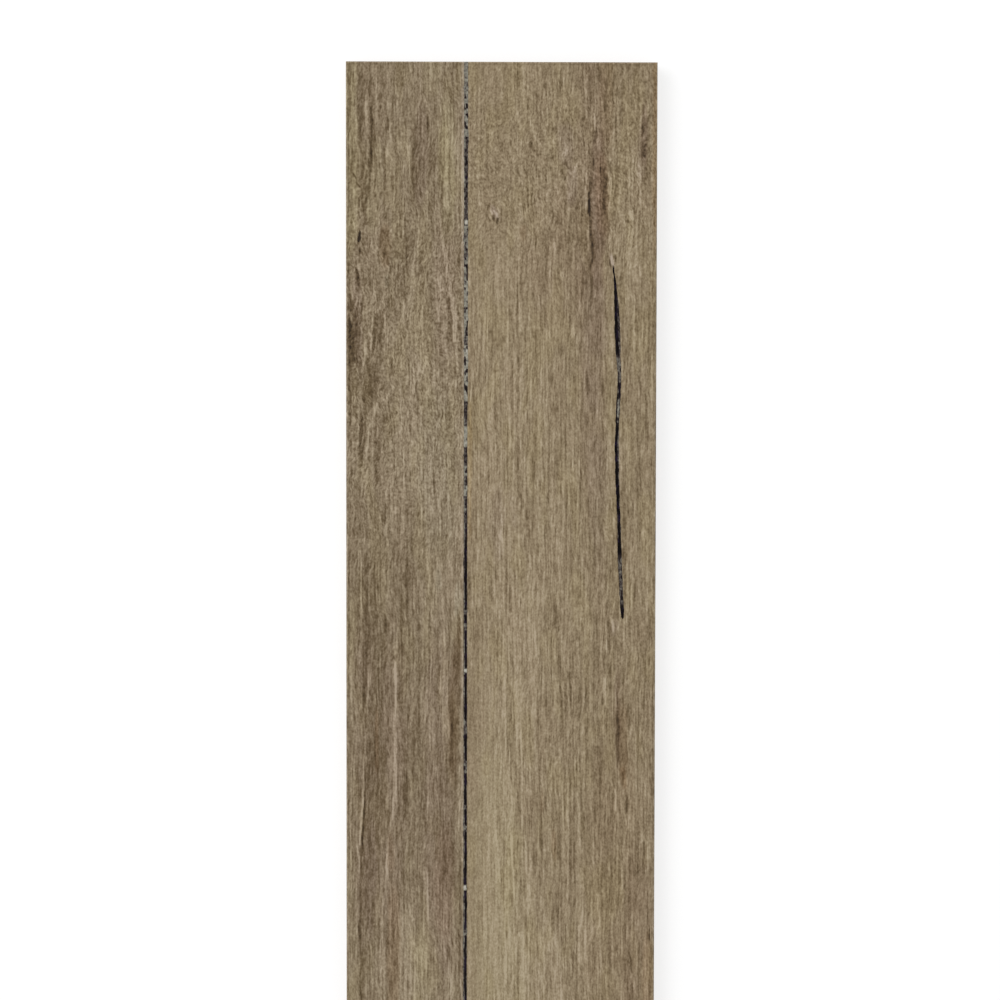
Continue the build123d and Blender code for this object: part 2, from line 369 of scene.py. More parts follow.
# The oak's colours, from its darkest tone to its palest
narrow_tones = [
    (0.00, (0.028, 0.019, 0.011)), (0.17, (0.062, 0.041, 0.021)), (0.33, (0.107, 0.073, 0.038)),
    (0.47, (0.155, 0.111, 0.063)), (0.67, (0.252, 0.194, 0.124)), (0.83, (0.344, 0.274, 0.184)),
    (1.00, (0.454, 0.374, 0.266)),
]
narrow_marks = [
    # Broad bands, from the head end down
    (0.05, 3, (5, -10), (5, 26), (5, 66)),
    (0.07, 7, (51, -4), (51, 24)),
    (-0.05, 8, (12, 0), (14, 36), (13, 70)),
    (-0.07, 4, (23, 8), (23, 36), (23, 66)),
    (-0.05, 7, (46, 18), (45, 60), (43, 100)),
    (0.09, 4.5, (61.5, 20), (62, 100)),
    (0.07, 3.5, (68, 30), (68, 60), (67, 100)),
    (-0.04, 4.5, (24, 70), (23, 115), (19, 160)),
    (0.05, 3.5, (58, 90), (59, 150), (59, 216)),
    (-0.09, 3.0, (40, 94), (39, 132)),
    (-0.07, 4.5, (24, 96), (24, 128)),
    (-0.06, 8, (34, 100), (32, 130), (30, 160)),
    (-0.05, 4.5, (52, 104), (52, 160), (52, 206)),
    (0.04, 22, (42, 110), (44, 210), (46, 320)),
    (-0.08, 4.5, (4, 130), (4, 195), (5, 226)),
    (-0.20, 4.0, (5.8, 142), (4.4, 160), (5, 176), (6, 192)),
    (-0.08, 5, (19, 146), (17, 180), (15, 208)),
    (-0.07, 2.5, (69, 150), (69, 180), (69, 206)),
    (-0.09, 2.6, (17.6, 150), (17, 174)),
    (-0.08, 6.0, (12, 176), (14, 194), (12, 216)),
    (-0.07, 3.0, (20, 180), (18, 196), (14, 214)),
    (-0.09, 3.2, (14, 190), (11, 212), (9.5, 232), (10, 252)),
    (0.02, 14, (60, 200), (60, 270), (60, 340)),
    (0.07, 4, (29, 212), (29, 250), (29, 292)),
    (0.06, 2.5, (69.5, 212), (69.5, 260), (69, 304)),
    (-0.06, 6, (6, 226), (6, 300), (7, 380)),
    (-0.12, 3.0, (19, 228), (19, 250)),
    (-0.06, 8, (16, 260), (16, 420), (13, 600)),
    (-0.06, 3.5, (40, 274), (40, 296), (40, 330)),
    (-0.05, 14, (34, 276), (34, 340), (32, 440)),
    (-0.14, 2.9, (11.5, 284), (12, 350), (11, 412)),
    (0.10, 3.0, (55.5, 305), (56, 327)),
    (-0.06, 10, (20, 320), (20, 400), (19, 476)),
    (0.12, 3.5, (58.5, 322), (59.5, 372), (63, 440)),
    (-0.14, 5.0, (70.5, 334), (66.5, 385), (66.5, 452)),
    (-0.09, 2.8, (11, 372), (11, 430), (10.5, 488)),
    (-0.04, 9, (64, 380), (60, 450), (64, 520)),
    (-0.06, 11, (42, 385), (40, 470), (36, 530)),
    (-0.05, 4, (13, 392), (13, 430), (11, 490)),
    (-0.07, 5, (23, 396), (22, 450), (22, 520)),
    (-0.05, 5, (51, 408), (51, 450), (51, 492)),
    (-0.11, 3.5, (36.5, 428), (36, 470)),
    (-0.05, 9.0, (60, 455), (60, 535)),
    (-0.05, 5.5, (16, 460), (15, 500), (14, 542)),
    (-0.06, 3, (69, 480), (69, 530), (70, 604)),
    (0.06, 3.5, (4, 488), (4, 530), (4, 606)),
    (0.05, 5, (48, 500), (49, 535), (49, 566)),
    (0.07, 10, (38, 500), (38, 550), (38, 640)),
    (0.06, 4, (60, 500), (59, 530), (60, 552)),
    (-0.05, 5, (28, 516), (29, 600)),
    (0.06, 15, (50, 522), (50, 680)),
    (-0.10, 4, (57, 540), (56, 590), (58, 660)),
    # Fine streaks, flecks and knots, from the head end down
    (-0.12, 2.0, (9.0, -30), (9.0, 30), (10, 60), (10.6, 104)),
    (-0.10, 1.3, (67, -10), (67.5, 15)),
    (0.10, 1.0, (18.5, 6), (18, 42)),
    (0.10, 1.2, (13.5, 12), (13.5, 56)),
    (-0.15, 1.6, (16.5, 14), (16, 50), (13.5, 70), (11.5, 95), (9.5, 112)),
    (0.18, 0.9, (46, 19), (43.5, 28), (41.5, 38)),
    (0.14, 0.8, (47, 21), (50.5, 29)),
    (0.14, 1.0, (12.2, 22), (12, 40)),
    (-0.13, 1.4, (49, 26), (51.5, 50), (51, 78)),
    (-0.09, 2.2, (15.8, 30), (15.4, 52), (14, 68)),
    (-0.12, 1.4, (43, 30), (41, 60), (42, 86)),
    (-0.26, 0.9, (25.3, 33), (25.5, 43)),
    (-0.12, 1.1, (58, 34), (57.5, 94)),
    (-0.10, 1.0, (54, 42), (54, 72)),
    (0.16, 0.9, (37.5, 48), (38, 66)),
    (0.12, 0.9, (30, 50), (29.5, 72)),
    (-0.12, 1.2, (10.5, 58), (10, 98)),
    (-0.16, 0.9, (23.5, 65), (23, 81)),
    (-0.30, 0.9, (4, 67), (6.5, 72)),
    (-0.14, 0.9, (27.5, 68), (28, 81)),
    (-0.26, 0.9, (6, 73), (8.4, 77)),
    (0.20, 0.9, (3, 74), (5.5, 81)),
    (-0.14, 1.0, (51, 76), (51, 96)),
    (-0.34, 0.8, (7.5, 82), (7.5, 89)),
    (0.11, 1.1, (50, 88), (55, 122), (60, 158), (64, 200), (67, 240)),
    (0.17, 1.8, (56, 88), (60, 114), (65, 148), (69, 200)),
    (-0.18, 0.9, (33.3, 88), (33.5, 109)),
    (-0.15, 1.1, (36.5, 89), (37, 110), (36, 133)),
    (-0.30, 0.8, (6.6, 90), (8.2, 96)),
    (0.10, 0.9, (35, 91), (35, 109)),
    (0.20, 0.9, (4, 95), (5.8, 102)),
    (-0.10, 1.1, (55, 96), (60, 130), (65, 170), (69, 212)),
    (0.10, 1.0, (46, 96), (41, 125), (37, 152)),
    (-1.3, 1.4, (8.8, 102.5), (7.2, 110)),
    (-0.09, 1.1, (48, 104), (44, 132), (40, 165)),
    (-0.22, 0.8, (8.3, 110), (8.3, 124)),
    (-0.16, 1.2, (2.2, 118), (2.2, 180), (2.2, 240)),
    (-0.30, 1.6, (6.2, 124), (7.6, 132), (8.2, 140)),
    (0.09, 1.0, (48, 138), (44, 165), (41, 205)),
    (0.20, 0.9, (5.5, 138), (3.5, 146)),
    (0.30, 0.9, (7.8, 140), (5, 150), (2.5, 161)),
    (-0.12, 1.0, (10, 141), (8.8, 160), (9, 179)),
    (-0.12, 1.2, (26, 144), (25.6, 158)),
    (0.20, 0.9, (35.4, 145), (34.2, 157)),
    (0.16, 1.2, (56, 145), (57, 159)),
    (0.22, 0.9, (22, 147), (16.5, 155), (14.8, 166), (16, 179)),
    (-0.16, 1.2, (21.5, 149), (20.5, 173)),
    (0.15, 0.9, (24.5, 151), (23.4, 179)),
    (-0.09, 2.4, (22.5, 160), (22.5, 178), (21, 196)),
    (0.20, 1.3, (12, 167), (12.2, 178), (9, 188)),
    (0.14, 1.2, (60, 167), (61, 181)),
    (0.20, 0.9, (49, 181), (46.5, 190)),
    (0.14, 0.9, (54, 181), (53.6, 196)),
    (0.22, 1.0, (4, 182), (7.4, 190)),
    (0.22, 1.1, (45.4, 185), (43, 196)),
    (-0.12, 0.9, (43, 186), (42.6, 206)),
    (0.22, 1.0, (67, 191), (67.6, 200)),
    (0.24, 1.1, (30.5, 196), (24, 206)),
    (0.22, 0.9, (20, 200), (24, 207.5)),
    (0.18, 1.2, (6.2, 203), (2.8, 213)),
    (0.26, 1.1, (19, 206), (16.2, 220)),
    (-0.15, 1.1, (9, 211), (9, 236), (10.6, 249)),
    (0.20, 0.9, (15, 217), (13.5, 232), (12, 244)),
    (-0.14, 0.9, (29.5, 233), (29.5, 243)),
    (-0.17, 0.9, (53.5, 247), (54, 265)),
    (0.12, 1.0, (12, 250), (9, 266)),
    (0.14, 1.0, (29.6, 262), (29.8, 282)),
    (0.14, 1.0, (45, 262), (47, 284)),
    (-0.14, 1.0, (24, 268), (23.5, 284)),
    (0.14, 0.9, (8.6, 288), (8.6, 342)),
    (-0.10, 0.8, (1.8, 290), (1.8, 400)),
    (0.12, 1.0, (39, 294), (39, 313)),
    (0.15, 1.0, (50, 294), (49.6, 313)),
    (-0.12, 1.2, (16, 298), (18, 330), (18, 347)),
    (-0.10, 1.3, (33.2, 298), (34, 377)),
    (-0.10, 1.3, (37, 298), (37, 352)),
    (0.16, 1.2, (30.4, 310), (29.5, 348), (30.6, 386), (29.5, 400), (30.6, 421), (30.2, 443), (27.6, 466),
     (25.5, 485), (24, 504), (21.7, 527), (20, 560)),
    (0.10, 2.4, (68.4, 316), (67, 341)),
    (0.10, 1.2, (3.2, 326), (3, 402)),
    (0.14, 1.0, (53, 328), (53, 353)),
    (-0.13, 1.1, (24, 333), (25, 354)),
    (-0.10, 1.0, (59, 338), (59, 357)),
    (0.08, 1.2, (31.4, 340), (31.6, 380), (32.4, 430)),
    (0.20, 1.1, (16.5, 345), (15, 368), (13, 386), (11.3, 402), (11.6, 421), (10.6, 447), (7.6, 480),
     (7, 520)),
    (-0.12, 0.9, (5.5, 348), (5.5, 424)),
    (0.20, 0.9, (30, 366), (30.6, 379)),
    (0.18, 0.9, (57, 375), (57.6, 389)),
    (0.14, 1.0, (49, 381), (49.4, 399)),
    (-0.10, 1.3, (64.5, 386), (64.5, 442)),
    (0.12, 0.9, (70.6, 388), (70.2, 472)),
    (-0.22, 1.2, (12.6, 434), (10.6, 462), (9, 490), (8.5, 530), (8.6, 610)),
    (0.12, 1.2, (50, 434), (51, 462)),
    (0.14, 1.0, (28, 449), (28.6, 466)),
    (-0.12, 1.3, (69.6, 468), (69.6, 562)),
    (0.14, 1.7, (49, 490), (50, 530)),
    (0.12, 1.2, (16, 528), (16, 574)),
    (0.12, 0.9, (63, 544), (65, 578)),
]
narrow_marks += more_streaks(150, 2, seam_left - 2, strongest=0.16, widest=3.0, seed=5)
narrow_stains = [
    ((0.96, 0.94, 0.98), [(0.9, 6.0, (46, 20), (46, 55), (44, 96)), (0.9, 4.0, (7, 122), (7, 145), (8, 190)),
                          (0.7, 5.0, (15, 455), (15, 545))]),
    ((0.98, 0.93, 0.92), [(0.7, 9.0, (60, 462), (60, 546)), (0.8, 4.6, (70, 334), (66, 385), (66, 452))]),
    ((1.03, 0.95, 0.88), [(0.6, 5.0, (24, 96), (24, 128)), (0.8, 2.2, (18.5, 392), (18.5, 440)),
                          (0.6, 5.5, (29, 496), (29, 604)), (0.4, 3, (27, 470), (27, 500))]),
    ((0.99, 1.01, 0.94), [(0.8, 6.0, (3, -30), (3, 130)), (0.9, 7.0, (62, 10), (62, 120)),
                          (0.3, 4.5, (3, 290), (3, 640)), (0.5, 14, (50, 520), (50, 660)),
                          (0.8, 6.0, (18, 40), (16, 110)), (0.6, 8.0, (52, -20), (52, 26))]),
    ((0.97, 1.01, 1.03), [(0.9, 1.9, (25, 129), (25.6, 138)), (0.8, 2.6, (69, 314), (68, 342)),
                          (0.7, 2.2, (56, 308), (57, 324)), (0.4, 16, (56, 190), (56, 250), (58, 310))]),
    ((0.98, 0.955, 1.00), [(0.9, 13, (58, 320), (56, 450), (58, 600)),
                           (0.8, 13, (30, 330), (28, 430), (24, 560)),
                           (0.6, 12, (10, 320), (10, 420), (12, 560)),
                           (0.5, 10, (60, 90), (60, 130), (64, 200))]),
]


def seam_chips(y, seed):
    """How far the seam's arris has broken back into the wood: a little all along, more in places."""
    nicks = wobble(y, 1.6, seed) * 0.07 + wobble(y, 4.5, seed + 1) * 0.08
    return nicks + np.clip(wobble(y, 3.2, seed + 2) - 0.55, 0, 1) * 0.9


across = stops((0, 1.2, 0.3), (1.2, seam_left - 1.2, 0.62), (seam_left - 1.2, seam_left, 0.3))
along = stops((0, 1.2, 0.3), (1.2, detailed_length, 1.1), (detailed_length, board_length - 1.2, 6),
              (board_length - 1.2, board_length, 0.3))
x, y = np.meshgrid(across, along)
x = x * (1 - seam_chips(y, 31) / seam_left)
ragged_x = ragged(x, y, 41)
tone = streaks(ragged_x, y, narrow_marks)
# A painted highlight on the wood beside the seam, pale and a little blue, most of all near the head end
seam_highlight = smooth(1 - np.abs(seam_left - 0.7 - x) / 1.1) * (0.11 + 0.06 * smooth((140 - y) / 30))
seam_highlight_tint = 1 + seam_highlight[..., None] * (-0.1, 0, 0.6)
z = brushed_face(x, x, y, tone, spacing=3.1, sway=3.5, seed=11)
narrow_strip = slab("narrow_strip", x, y, z, glue_line, tone=tone + seam_highlight, lively=1 - x * 0,
                    stain=stained(ragged_x, y, narrow_stains) * seam_highlight_tint)
narrow_strip.data.materials.append(
    oak("fumed_oak_narrow", narrow_tones, swirl=4.5, unsettled=(60, 130), settled=(220, 340)))
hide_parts("narrow_face_strip")
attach(narrow_strip, "root")

# Wide face strip
# The second oak lamella, sawn from a straighter part of the log and a little lighter. A natural
# drying crack runs along it near its outer edge, cleaned out and left open for the putty.

seam_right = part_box("wide_face_strip")[0].x / MM - board_left
crack_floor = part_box("crack_filler")[0].z / MM
# Each station of the crack is its distance from the head end, its distance in from the board's
# right edge, and the width of the opening there. The first and the last are the crack's tips.
crack_stations = [
    (123.4, 26.8, 0), (125.2, 26.6, 0.9), (131.6, 25.8, 1.2), (148.0, 24.6, 2.8), (164.4, 24.0, 3.5),
    (178.1, 23.5, 2.9), (189.0, 22.8, 2.2), (201.0, 23.0, 2.3), (212.0, 23.5, 2.7), (222.0, 23.9, 2.2),
    (233.8, 24.2, 2.6), (248.8, 24.0, 2.4), (269.4, 23.2, 2.2), (289.8, 22.5, 2.2), (304.9, 22.1, 2.5),
    (319.8, 21.3, 2.3), (334.0, 20.6, 2.3), (339.4, 20.3, 2.0), (340.5, 20.2, 0),
]
crack_y, crack_inset, crack_width = np.transpose(crack_stations)
closed_width = 0.2  # columns of the mesh stand this far apart where the crack has closed
wide_tones = [
    (0.00, (0.030, 0.021, 0.013)), (0.17, (0.070, 0.048, 0.025)), (0.33, (0.123, 0.086, 0.045)),
    (0.47, (0.1815, 0.132, 0.075)), (0.67, (0.279, 0.214, 0.132)), (0.83, (0.368, 0.292, 0.190)),
    (1.00, (0.470, 0.386, 0.270)),
]
wide_marks = [
    # Broad bands, from the head end down
    (-0.07, 18, (152, -80), (152, 0), (152, 72)),
    (-0.03, 14, (177, -50), (178, 70)),
    (-0.07, 4, (160, 2), (160, 30), (157.6, 58)),
    (-0.05, 4.5, (184, 6), (184, 50), (184, 94)),
    (-0.05, 3.0, (182, 14), (182, 72)),
    (0.04, 8, (175, 40), (173, 90), (175, 170)),
    (-0.07, 4, (159, 46), (158, 84), (157, 134)),
    (-0.07, 10, (153, 50), (153, 88), (153, 130)),
    (0.035, 36, (104, 60), (104, 260), (104, 480)),
    (-0.05, 8, (142, 66), (141, 110), (143, 170)),
    (-0.03, 13, (126, 88), (122, 115), (110, 150)),
    (-0.05, 9, (150, 90), (150, 136), (150, 190)),
    (-0.03, 12, (152, 120), (152, 220), (150, 340)),
    (0.045, 4.5, (185, 230), (185, 290), (185, 350)),
    (-0.09, 2.8, (169.6, 246), (169.8, 300), (170.8, 350)),
    (-0.06, 2.5, (164.8, 256), (165.4, 300), (166.4, 350)),
    (0.05, 30, (100, 290), (98, 480), (98, 800)),
    (-0.10, 2.8, (166, 334), (166.4, 360), (167, 392)),
    (-0.035, 24, (160, 360), (164, 480), (164, 800)),
    (-0.10, 6.5, (170, 388), (171, 444)),
    (0.06, 20, (92, 400), (92, 540), (96, 800)),
    (-0.03, 8, (178, 466), (178, 540), (179, 650)),
    (0.07, 5, (177, 488), (177, 525), (177, 575)),
    (0.05, 8, (112, 498), (112, 545), (112, 620)),
    (0.08, 8, (153, 502), (153, 540), (154, 584)),
    (0.09, 11, (126, 515), (126, 560), (128, 640)),
    (0.12, 4, (145, 517), (145, 540), (145, 558)),
    # Fine streaks, flecks and knots, from the head end down
    (-0.14, 1.0, (154.5, -8), (154.5, 23)),
    (-0.09, 1.1, (143, -5), (143.5, 20)),
    (-0.08, 1.1, (149, 2), (149, 26)),
    (-0.18, 0.9, (131, 2), (131, 23)),
    (-0.12, 1.0, (163, 3), (163, 28)),
    (0.08, 1.1, (146.5, 4), (146, 34)),
    (-0.08, 1.1, (174.5, 4), (174.5, 34)),
    (0.09, 1.1, (160.5, 6), (160.4, 34)),
    (0.18, 0.9, (133.3, 7), (133.5, 31)),
    (-0.17, 1.0, (158, 9), (158, 35)),
    (0.08, 1.1, (177.5, 10), (177.6, 36)),
    (-0.12, 1.2, (168, 12), (169, 42)),
    (0.09, 1.1, (156, 14), (156, 40)),
    (0.10, 0.9, (166, 18), (166, 45)),
    (0.10, 0.9, (172, 20), (172, 47)),
    (0.17, 0.9, (182.6, 20), (182.6, 34)),
    (0.15, 0.9, (184.4, 21), (184.2, 35)),
    (0.17, 0.9, (179.4, 23), (179.4, 45)),
    (0.30, 0.8, (151, 29), (152.4, 43)),
    (-0.08, 1.1, (165, 30), (165, 56)),
    (-0.20, 0.9, (181.2, 34), (181.2, 44)),
    (0.14, 0.9, (112, 34), (115, 44)),
    (-0.22, 1.2, (153, 37), (150.5, 57)),
    (0.18, 0.9, (128, 43), (124, 53)),
    (-0.09, 1.2, (156, 44), (156.4, 70), (156.6, 100)),
    (0.18, 0.9, (114, 44), (118, 50), (122, 54)),
    (-0.24, 0.9, (182.2, 47), (181.8, 59)),
    (-0.24, 1.1, (112, 47), (114, 53), (118, 58)),
    (0.18, 0.9, (136, 51), (131, 60)),
    (-0.14, 1.3, (151.5, 54), (149.6, 70), (148.8, 84), (149, 98)),
    (-0.22, 0.9, (151.2, 55), (151, 61)),
    (-0.07, 2.2, (155.5, 56), (155.6, 100)),
    (-0.14, 1.2, (157.5, 58), (158, 102)),
    (0.16, 0.9, (178.8, 58), (178.8, 73)),
    (0.18, 0.9, (142.6, 58), (138, 70)),
    (-0.22, 0.9, (150.8, 60), (150.4, 67)),
    (0.10, 1.0, (153.6, 60), (154, 88)),
    (-0.14, 1.0, (163, 60), (162.5, 80)),
    (-0.16, 1.1, (134, 61), (138, 67)),
    (-0.20, 1.1, (104, 62), (107, 71)),
    (-0.16, 1.1, (160, 64), (159, 78), (160.4, 88)),
    (-0.18, 1.1, (109, 64), (112, 71)),
    (-0.20, 1.1, (131, 64), (134, 73)),
    (0.14, 1.8, (138, 64), (136.6, 84)),
    (-0.20, 0.9, (149.8, 68), (149.0, 77)),
    (0.20, 0.9, (161.8, 68), (160.6, 90)),
    (0.12, 1.0, (166, 68), (166, 92)),
    (0.20, 1.0, (147.4, 77), (146.8, 92)),
    (-0.24, 1.0, (148.6, 78), (148.5, 87)),
    (-0.28, 1.0, (148.7, 83), (148.9, 95)),
    (-0.08, 1.2, (130, 84), (131, 112), (130, 140)),
    (-0.22, 1.0, (174.4, 85), (176.4, 93)),
    (-0.30, 0.9, (87.4, 85.6), (86.6, 91)),
    (-0.07, 1.2, (137, 86), (136.6, 112), (138, 146)),
    (0.24, 0.8, (92.6, 87.8), (93.6, 92.4)),
    (-0.26, 0.8, (94.6, 88), (94.8, 94)),
    (0.22, 1.0, (172.6, 89), (175.4, 97)),
    (0.34, 1.0, (88.0, 89.4), (90.4, 93.2)),
    (-0.07, 1.3, (122, 90), (122, 120), (121, 150)),
    (0.40, 1.0, (91.0, 90.2), (92.4, 94.6)),
    (-0.10, 1.2, (149.0, 92), (149.6, 110)),
    (-0.24, 0.8, (85.6, 92), (88.6, 98)),
    (-0.30, 0.8, (90.4, 92.6), (90.8, 97.4)),
    (-0.14, 1.6, (149.8, 94), (150.2, 108), (150.2, 124)),
    (-0.34, 0.9, (92.8, 94.6), (92.2, 99)),
    (-0.20, 0.9, (172, 95), (175.6, 101)),
    (0.24, 1.1, (147.8, 96), (147.6, 116)),
    (-0.10, 1.2, (150.2, 102), (150.2, 124)),
    (0.22, 0.9, (126.8, 107), (127, 119)),
    (-0.13, 1.1, (150, 116), (149.5, 148)),
    (0.14, 1.3, (166.5, 116), (167.6, 132)),
    (-0.26, 0.9, (164.6, 116.4), (164.8, 122)),
    (0.50, 1.1, (162.6, 117.0), (163.0, 124.2)),
    (-0.30, 0.8, (160.8, 117), (161.2, 126)),
    (-0.12, 1.0, (145, 119), (145, 145)),
    (-0.16, 1.0, (106.4, 127), (107, 143)),
    (0.34, 0.9, (152, 138), (152, 144)),
    (0.26, 0.9, (142.4, 143), (143.6, 155)),
    (0.14, 0.9, (82, 148), (82, 182)),
    (0.18, 0.9, (149, 155), (149.6, 169)),
    (-0.17, 1.0, (147.4, 185), (148.6, 206)),
    (-0.16, 1.7, (157, 190), (157.6, 206)),
    (-0.16, 1.0, (146.8, 211), (147.6, 227)),
    (0.18, 0.9, (158, 215), (159.6, 225)),
    (-0.12, 0.9, (157.5, 224), (158, 251)),
    (-0.14, 0.9, (143.5, 237), (143.5, 279)),
    (-0.10, 1.0, (178, 237), (178, 269)),
    (-0.12, 1.0, (171, 243), (171, 257)),
    (-0.12, 0.9, (106, 250), (106, 270)),
    (0.18, 1.0, (163.5, 274), (163.5, 286)),
    (-0.15, 0.9, (178, 311), (178, 331)),
    (-0.15, 0.9, (128.5, 324), (129, 351)),
    (0.18, 1.1, (171.5, 326), (171.6, 346)),
    (-0.15, 0.9, (122, 329), (122.5, 349)),
    (-0.18, 0.9, (143, 338), (143.3, 367)),
    (-0.26, 1.2, (161.4, 339), (161.4, 363)),
    (0.28, 1.1, (163, 339), (164, 349)),
    (0.18, 0.9, (166.2, 340), (166.6, 349)),
    (-0.18, 1.0, (131, 346), (132, 380), (133.5, 432)),
    (0.14, 1.0, (170.4, 346), (172.4, 362)),
    (0.18, 0.9, (159.8, 347), (159.8, 362)),
    (-0.12, 0.9, (153, 350), (153.3, 373)),
    (-0.20, 1.1, (162, 365), (162, 385)),
    (-0.15, 1.0, (137.4, 366), (138.6, 405)),
    (0.16, 1.0, (165, 371), (165.6, 395)),
    (0.34, 1.4, (158.4, 375), (159.6, 397)),
    (-0.20, 1.4, (167, 378), (167, 436)),
    (-0.24, 0.9, (157, 384), (157.4, 395)),
    (0.26, 1.0, (122.3, 399), (122.7, 413)),
    (0.18, 1.0, (177.4, 399), (174, 415)),
    (-0.14, 0.9, (112, 405), (113, 420)),
    (0.16, 1.0, (172.8, 407), (174, 419)),
    (-0.16, 1.6, (169.6, 434), (170.6, 446)),
    (0.24, 1.0, (162.6, 439), (166, 450), (165.4, 461)),
    (0.20, 1.0, (171.4, 439), (169.6, 450)),
    (-0.26, 1.2, (172, 446), (173, 463)),
    (0.16, 0.9, (150, 448), (151.2, 463)),
    (0.20, 0.9, (170, 458), (174.4, 470)),
    (0.15, 1.0, (100, 466), (103, 500), (106, 534)),
    (0.12, 1.0, (92, 468), (95, 507)),
    (0.17, 1.0, (186, 468), (186, 502)),
    (-0.16, 0.9, (131.6, 469), (132, 501)),
    (0.14, 1.0, (110, 470), (111, 500)),
    (-0.14, 0.9, (138, 473), (138, 497)),
    (-0.18, 0.9, (183.6, 476), (183.6, 497)),
    (-0.12, 0.9, (119, 486), (119.4, 516)),
    (-0.14, 0.9, (94, 488), (96, 507)),
    (0.18, 1.0, (160.8, 489), (164, 506)),
    (0.16, 1.0, (154.6, 500), (156, 534)),
    (-0.14, 0.9, (130.6, 505), (130.6, 533)),
    (0.18, 0.9, (163, 518), (163.4, 531)),
    (0.20, 1.1, (172.8, 527), (174, 541)),
    (-0.36, 1.0, (187, 529), (187.4, 542)),
    (-0.30, 1.0, (174.4, 543), (176.4, 560), (177, 580)),
    (0.34, 1.0, (176, 559), (176.4, 566)),
]
wide_marks += more_streaks(170, seam_right + 2, board_width - 2, strongest=0.16, widest=2.6, seed=6)
wide_stains = [
    ((1.00, 0.97, 1.00), [(0.4, 26, (127, 66), (127, 115), (130, 176))]),
    ((0.93, 0.89, 0.93), [(0.8, 7, (154, 30), (154, 90), (153, 150)), (0.8, 3.0, (182, 20), (182, 66)),
                          (0.8, 2.4, (167, 366), (167, 440)), (0.5, 12, (180, 464), (180, 640))]),
    ((1.01, 0.94, 0.89), [(0.7, 6, (156, 50), (157, 112)), (0.5, 4, (170, 388), (171, 444)),
                          (0.5, 3, (108, 98), (108, 110))]),
    ((1.03, 0.94, 0.87), [(0.7, 2.6, (170, 430), (171, 447)), (0.4, 1.5, (120.5, 444), (120.5, 464)),
                          (0.5, 2.4, (128, 468), (128, 492)), (0.5, 5, (186, 528), (186, 610)),
                          (0.15, 26, (164, 380), (164, 500), (164, 760))]),
    ((1.05, 0.95, 0.82), [(0.6, 2.2, (188.8, -30), (188.8, 130))]),
    ((1.01, 0.99, 1.035), [(0.8, 13, (150, -60), (150, 120), (152, 290))]),
    ((1.02, 0.96, 0.93), [(0.5, 6, (159, -20), (159, 20), (158, 60))]),
    ((1.00, 0.95, 0.83), [(0.9, 1.8, (75.6, 196), (75.6, 300))]),
    ((0.98, 0.97, 1.07), [(0.7, 7, (134, 34), (134, 66)), (0.7, 5, (138, 60), (138, 90)),
                          (1, 2.6, (89, 86), (93, 97)), (0.5, 12, (96, 255), (96, 310)),
                          (0.6, 3, (165, 340), (164, 352)), (0.5, 4, (182, 24), (180, 76)),
                          (0.4, 9, (152, 60), (152, 160), (156, 340)), (1, 2, (162, 115), (163, 127))]),
    ((0.99, 1.01, 0.96), [(0.7, 26, (94, 380), (94, 560), (94, 800))]),
]
# Where this strip's lines are fainter
calmer = [(0.55, 22, (80, 300), (80, 500), (84, 800)), (0.4, 24, (88, -40), (88, 60), (88, 170))]
across_left = stops((seam_right, seam_right + 1.2, 0.3), (seam_right + 1.2, 161, 0.8), (161, 165, 0.5))
across_right = stops((167, 169, 0.5), (169, board_width - 1.2, 0.8), (board_width - 1.2, board_width, 0.3))
along = stops((0, 1.2, 0.3), (1.2, 345, 1.15), (345, detailed_length, 2.2),
              (detailed_length, board_length - 1.2, 8), (board_length - 1.2, board_length, 0.3))


def right_wear(y):
    """How far the seam's right arris has worn back: a little all along, and more near the head."""
    return 0.42 + 0.25 * smooth((218 - y) / 30)


def crack_rims(y):
    """The crack's left and right rims, ragged where it is open and nearly closed beyond its tips, and
    half its width before the rims are made ragged."""
    middle = board_width - np.interp(y, crack_y, crack_inset)
    half = np.interp(y, crack_y, crack_width, left=0, right=0) / 2
    nicks = [wobble(y, 2.6, seed) * np.minimum(0.22, half * 0.4) for seed in (51, 52)]
    least = closed_width / 2
    return middle - np.maximum(half + nicks[0], least), middle + np.maximum(half + nicks[1], least), half


# Each row of the mesh runs from the seam to the crack's left rim, three points across the crack's
# floor, and on from its right rim to the board's edge
rim_left, rim_right, half_open = crack_rims(along)
inset = np.minimum(0.08, half_open * 0.2)
open_depth = (face_height - crack_floor) * smooth(half_open / 0.5)
left_share = (across_left - seam_right) / (across_left[-1] - seam_right)
left_start = seam_right + right_wear(along) + seam_chips(along, 61)
left_part = left_start[:, None] + left_share * (rim_left - left_start)[:, None]
right_share = (board_width - across_right) / (board_width - across_right[0])
right_part = board_width - right_share * (board_width - rim_right)[:, None]
floor_part = np.stack([rim_left + inset, (rim_left + rim_right) / 2, rim_right - inset], -1)
x = np.concatenate([left_part, floor_part, right_part], 1)
y = np.repeat(along[:, None], x.shape[1], 1)
ragged_x = ragged(x, y, 42)
tone = streaks(ragged_x, y, wide_marks)
# A faint painted highlight on the wood beside the seam's right arris
seam_highlight = smooth(1 - np.abs(x - seam_right - right_wear(y) - 0.9) / 0.9) * 0.04
z = brushed_face(board_width - x, x, y, tone, spacing=3.6, sway=2.0, seed=23)
floor_start = len(across_left)
z[:, floor_start:floor_start + floor_part.shape[1]] -= open_depth[:, None]
wide_strip = slab("wide_strip", x, y, z, glue_line, tone=tone + seam_highlight,
                  lively=1 - streaks(x, y, calmer), stain=stained(ragged_x, y, wide_stains))
wide_strip.data.materials.append(
    oak("fumed_oak_wide", wide_tones, swirl=3.0, unsettled=(0, 50), settled=(70, 150)))
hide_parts("wide_face_strip")
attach(wide_strip, "root")

